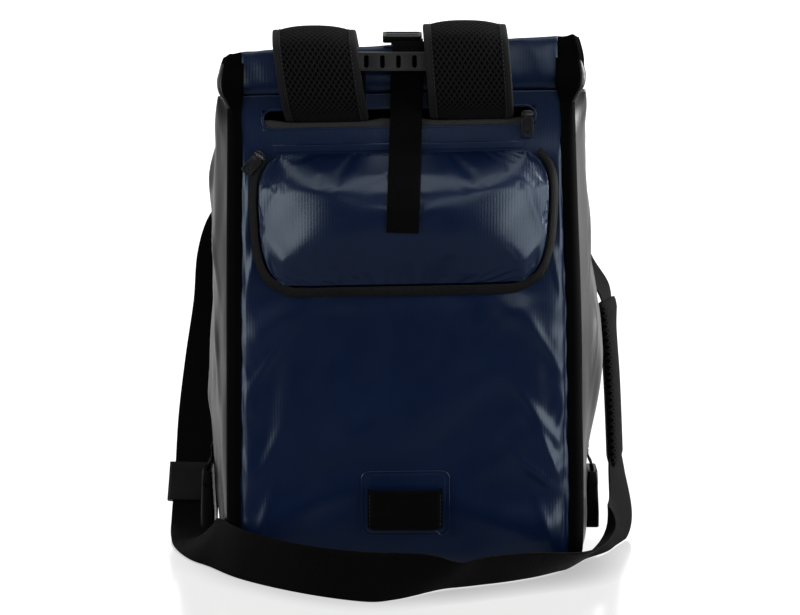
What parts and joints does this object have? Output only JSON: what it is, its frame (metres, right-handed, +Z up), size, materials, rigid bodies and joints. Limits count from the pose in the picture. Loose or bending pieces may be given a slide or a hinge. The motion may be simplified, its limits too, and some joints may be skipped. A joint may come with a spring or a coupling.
{
  "type": "roll-top rucksack",
  "caption": "Upright roll-top rucksack in coated cloth with a bulging front pocket, stowable padded shoulder straps, a carry strap and a light loop.",
  "frame": {"origin": "middle of the flat underside of the base", "axes": "+Z up, the front with the pocket faces -Y, +X to the right seen from the front"},
  "size_m": [0.4042, 0.2837, 0.4448],
  "materials": {
    "navy_cloth": "semi-gloss",
    "black_cloth": "satin",
    "webbing": "matte",
    "spacer_mesh": "matte",
    "grip_rubber": "matte",
    "plastic": "satin",
    "dark_metal": "satin"
  },
  "bodies": {
    "bag": {"front_panel": "navy_cloth", "back_panel": "navy_cloth", "roll_top": "navy_cloth", "pocket_shell": "navy_cloth", "pocket_top_strip": "navy_cloth", "light_patch": "navy_cloth", "side_panel_left": "black_cloth", "side_panel_right": "black_cloth", "base_panel": "black_cloth", "seam_tape_left": "black_cloth", "seam_tape_right": "black_cloth", "roll_end_left": "black_cloth", "roll_end_right": "black_cloth", "slot_zip_tape": "webbing", "pocket_zip_band": "webbing", "shoulder_tail_left": "webbing", "shoulder_tail_right": "webbing", "handle_tab_left": "webbing", "handle_tab_right": "webbing", "closure_strap": "webbing", "closure_anchor": "webbing", "light_loop": "webbing", "carry_strap": "webbing", "side_tab_left": "webbing", "side_tab_right": "webbing", "shoulder_pad_left": "spacer_mesh", "shoulder_pad_right": "spacer_mesh", "carry_pad": "spacer_mesh", "handle_grip": "grip_rubber", "shoulder_clip_left": "plastic", "shoulder_clip_right": "plastic", "closure_buckle": "plastic", "carry_adjuster": "plastic", "side_buckle_left": "plastic", "side_buckle_right": "plastic", "slot_zip_slider": "dark_metal", "pocket_zip_slider": "dark_metal"},
    "slot_pull": {"slot_zip_pull": "dark_metal"},
    "pocket_pull": {"pocket_zip_pull": "dark_metal"}
  },
  "joints": [
    {"name": "slot_pull_swing", "type": "hinge", "parent": "bag", "child": "slot_pull", "pos_m": [0.097, -0.07788, 0.37234], "axis": [-1, 0, 0], "range_deg": [0, 110]},
    {"name": "pocket_pull_swing", "type": "hinge", "parent": "bag", "child": "pocket_pull", "pos_m": [-0.1145, -0.07988, 0.33932], "axis": [-0.7431, 0, 0.6691], "range_deg": [0, 110]}
  ]
}
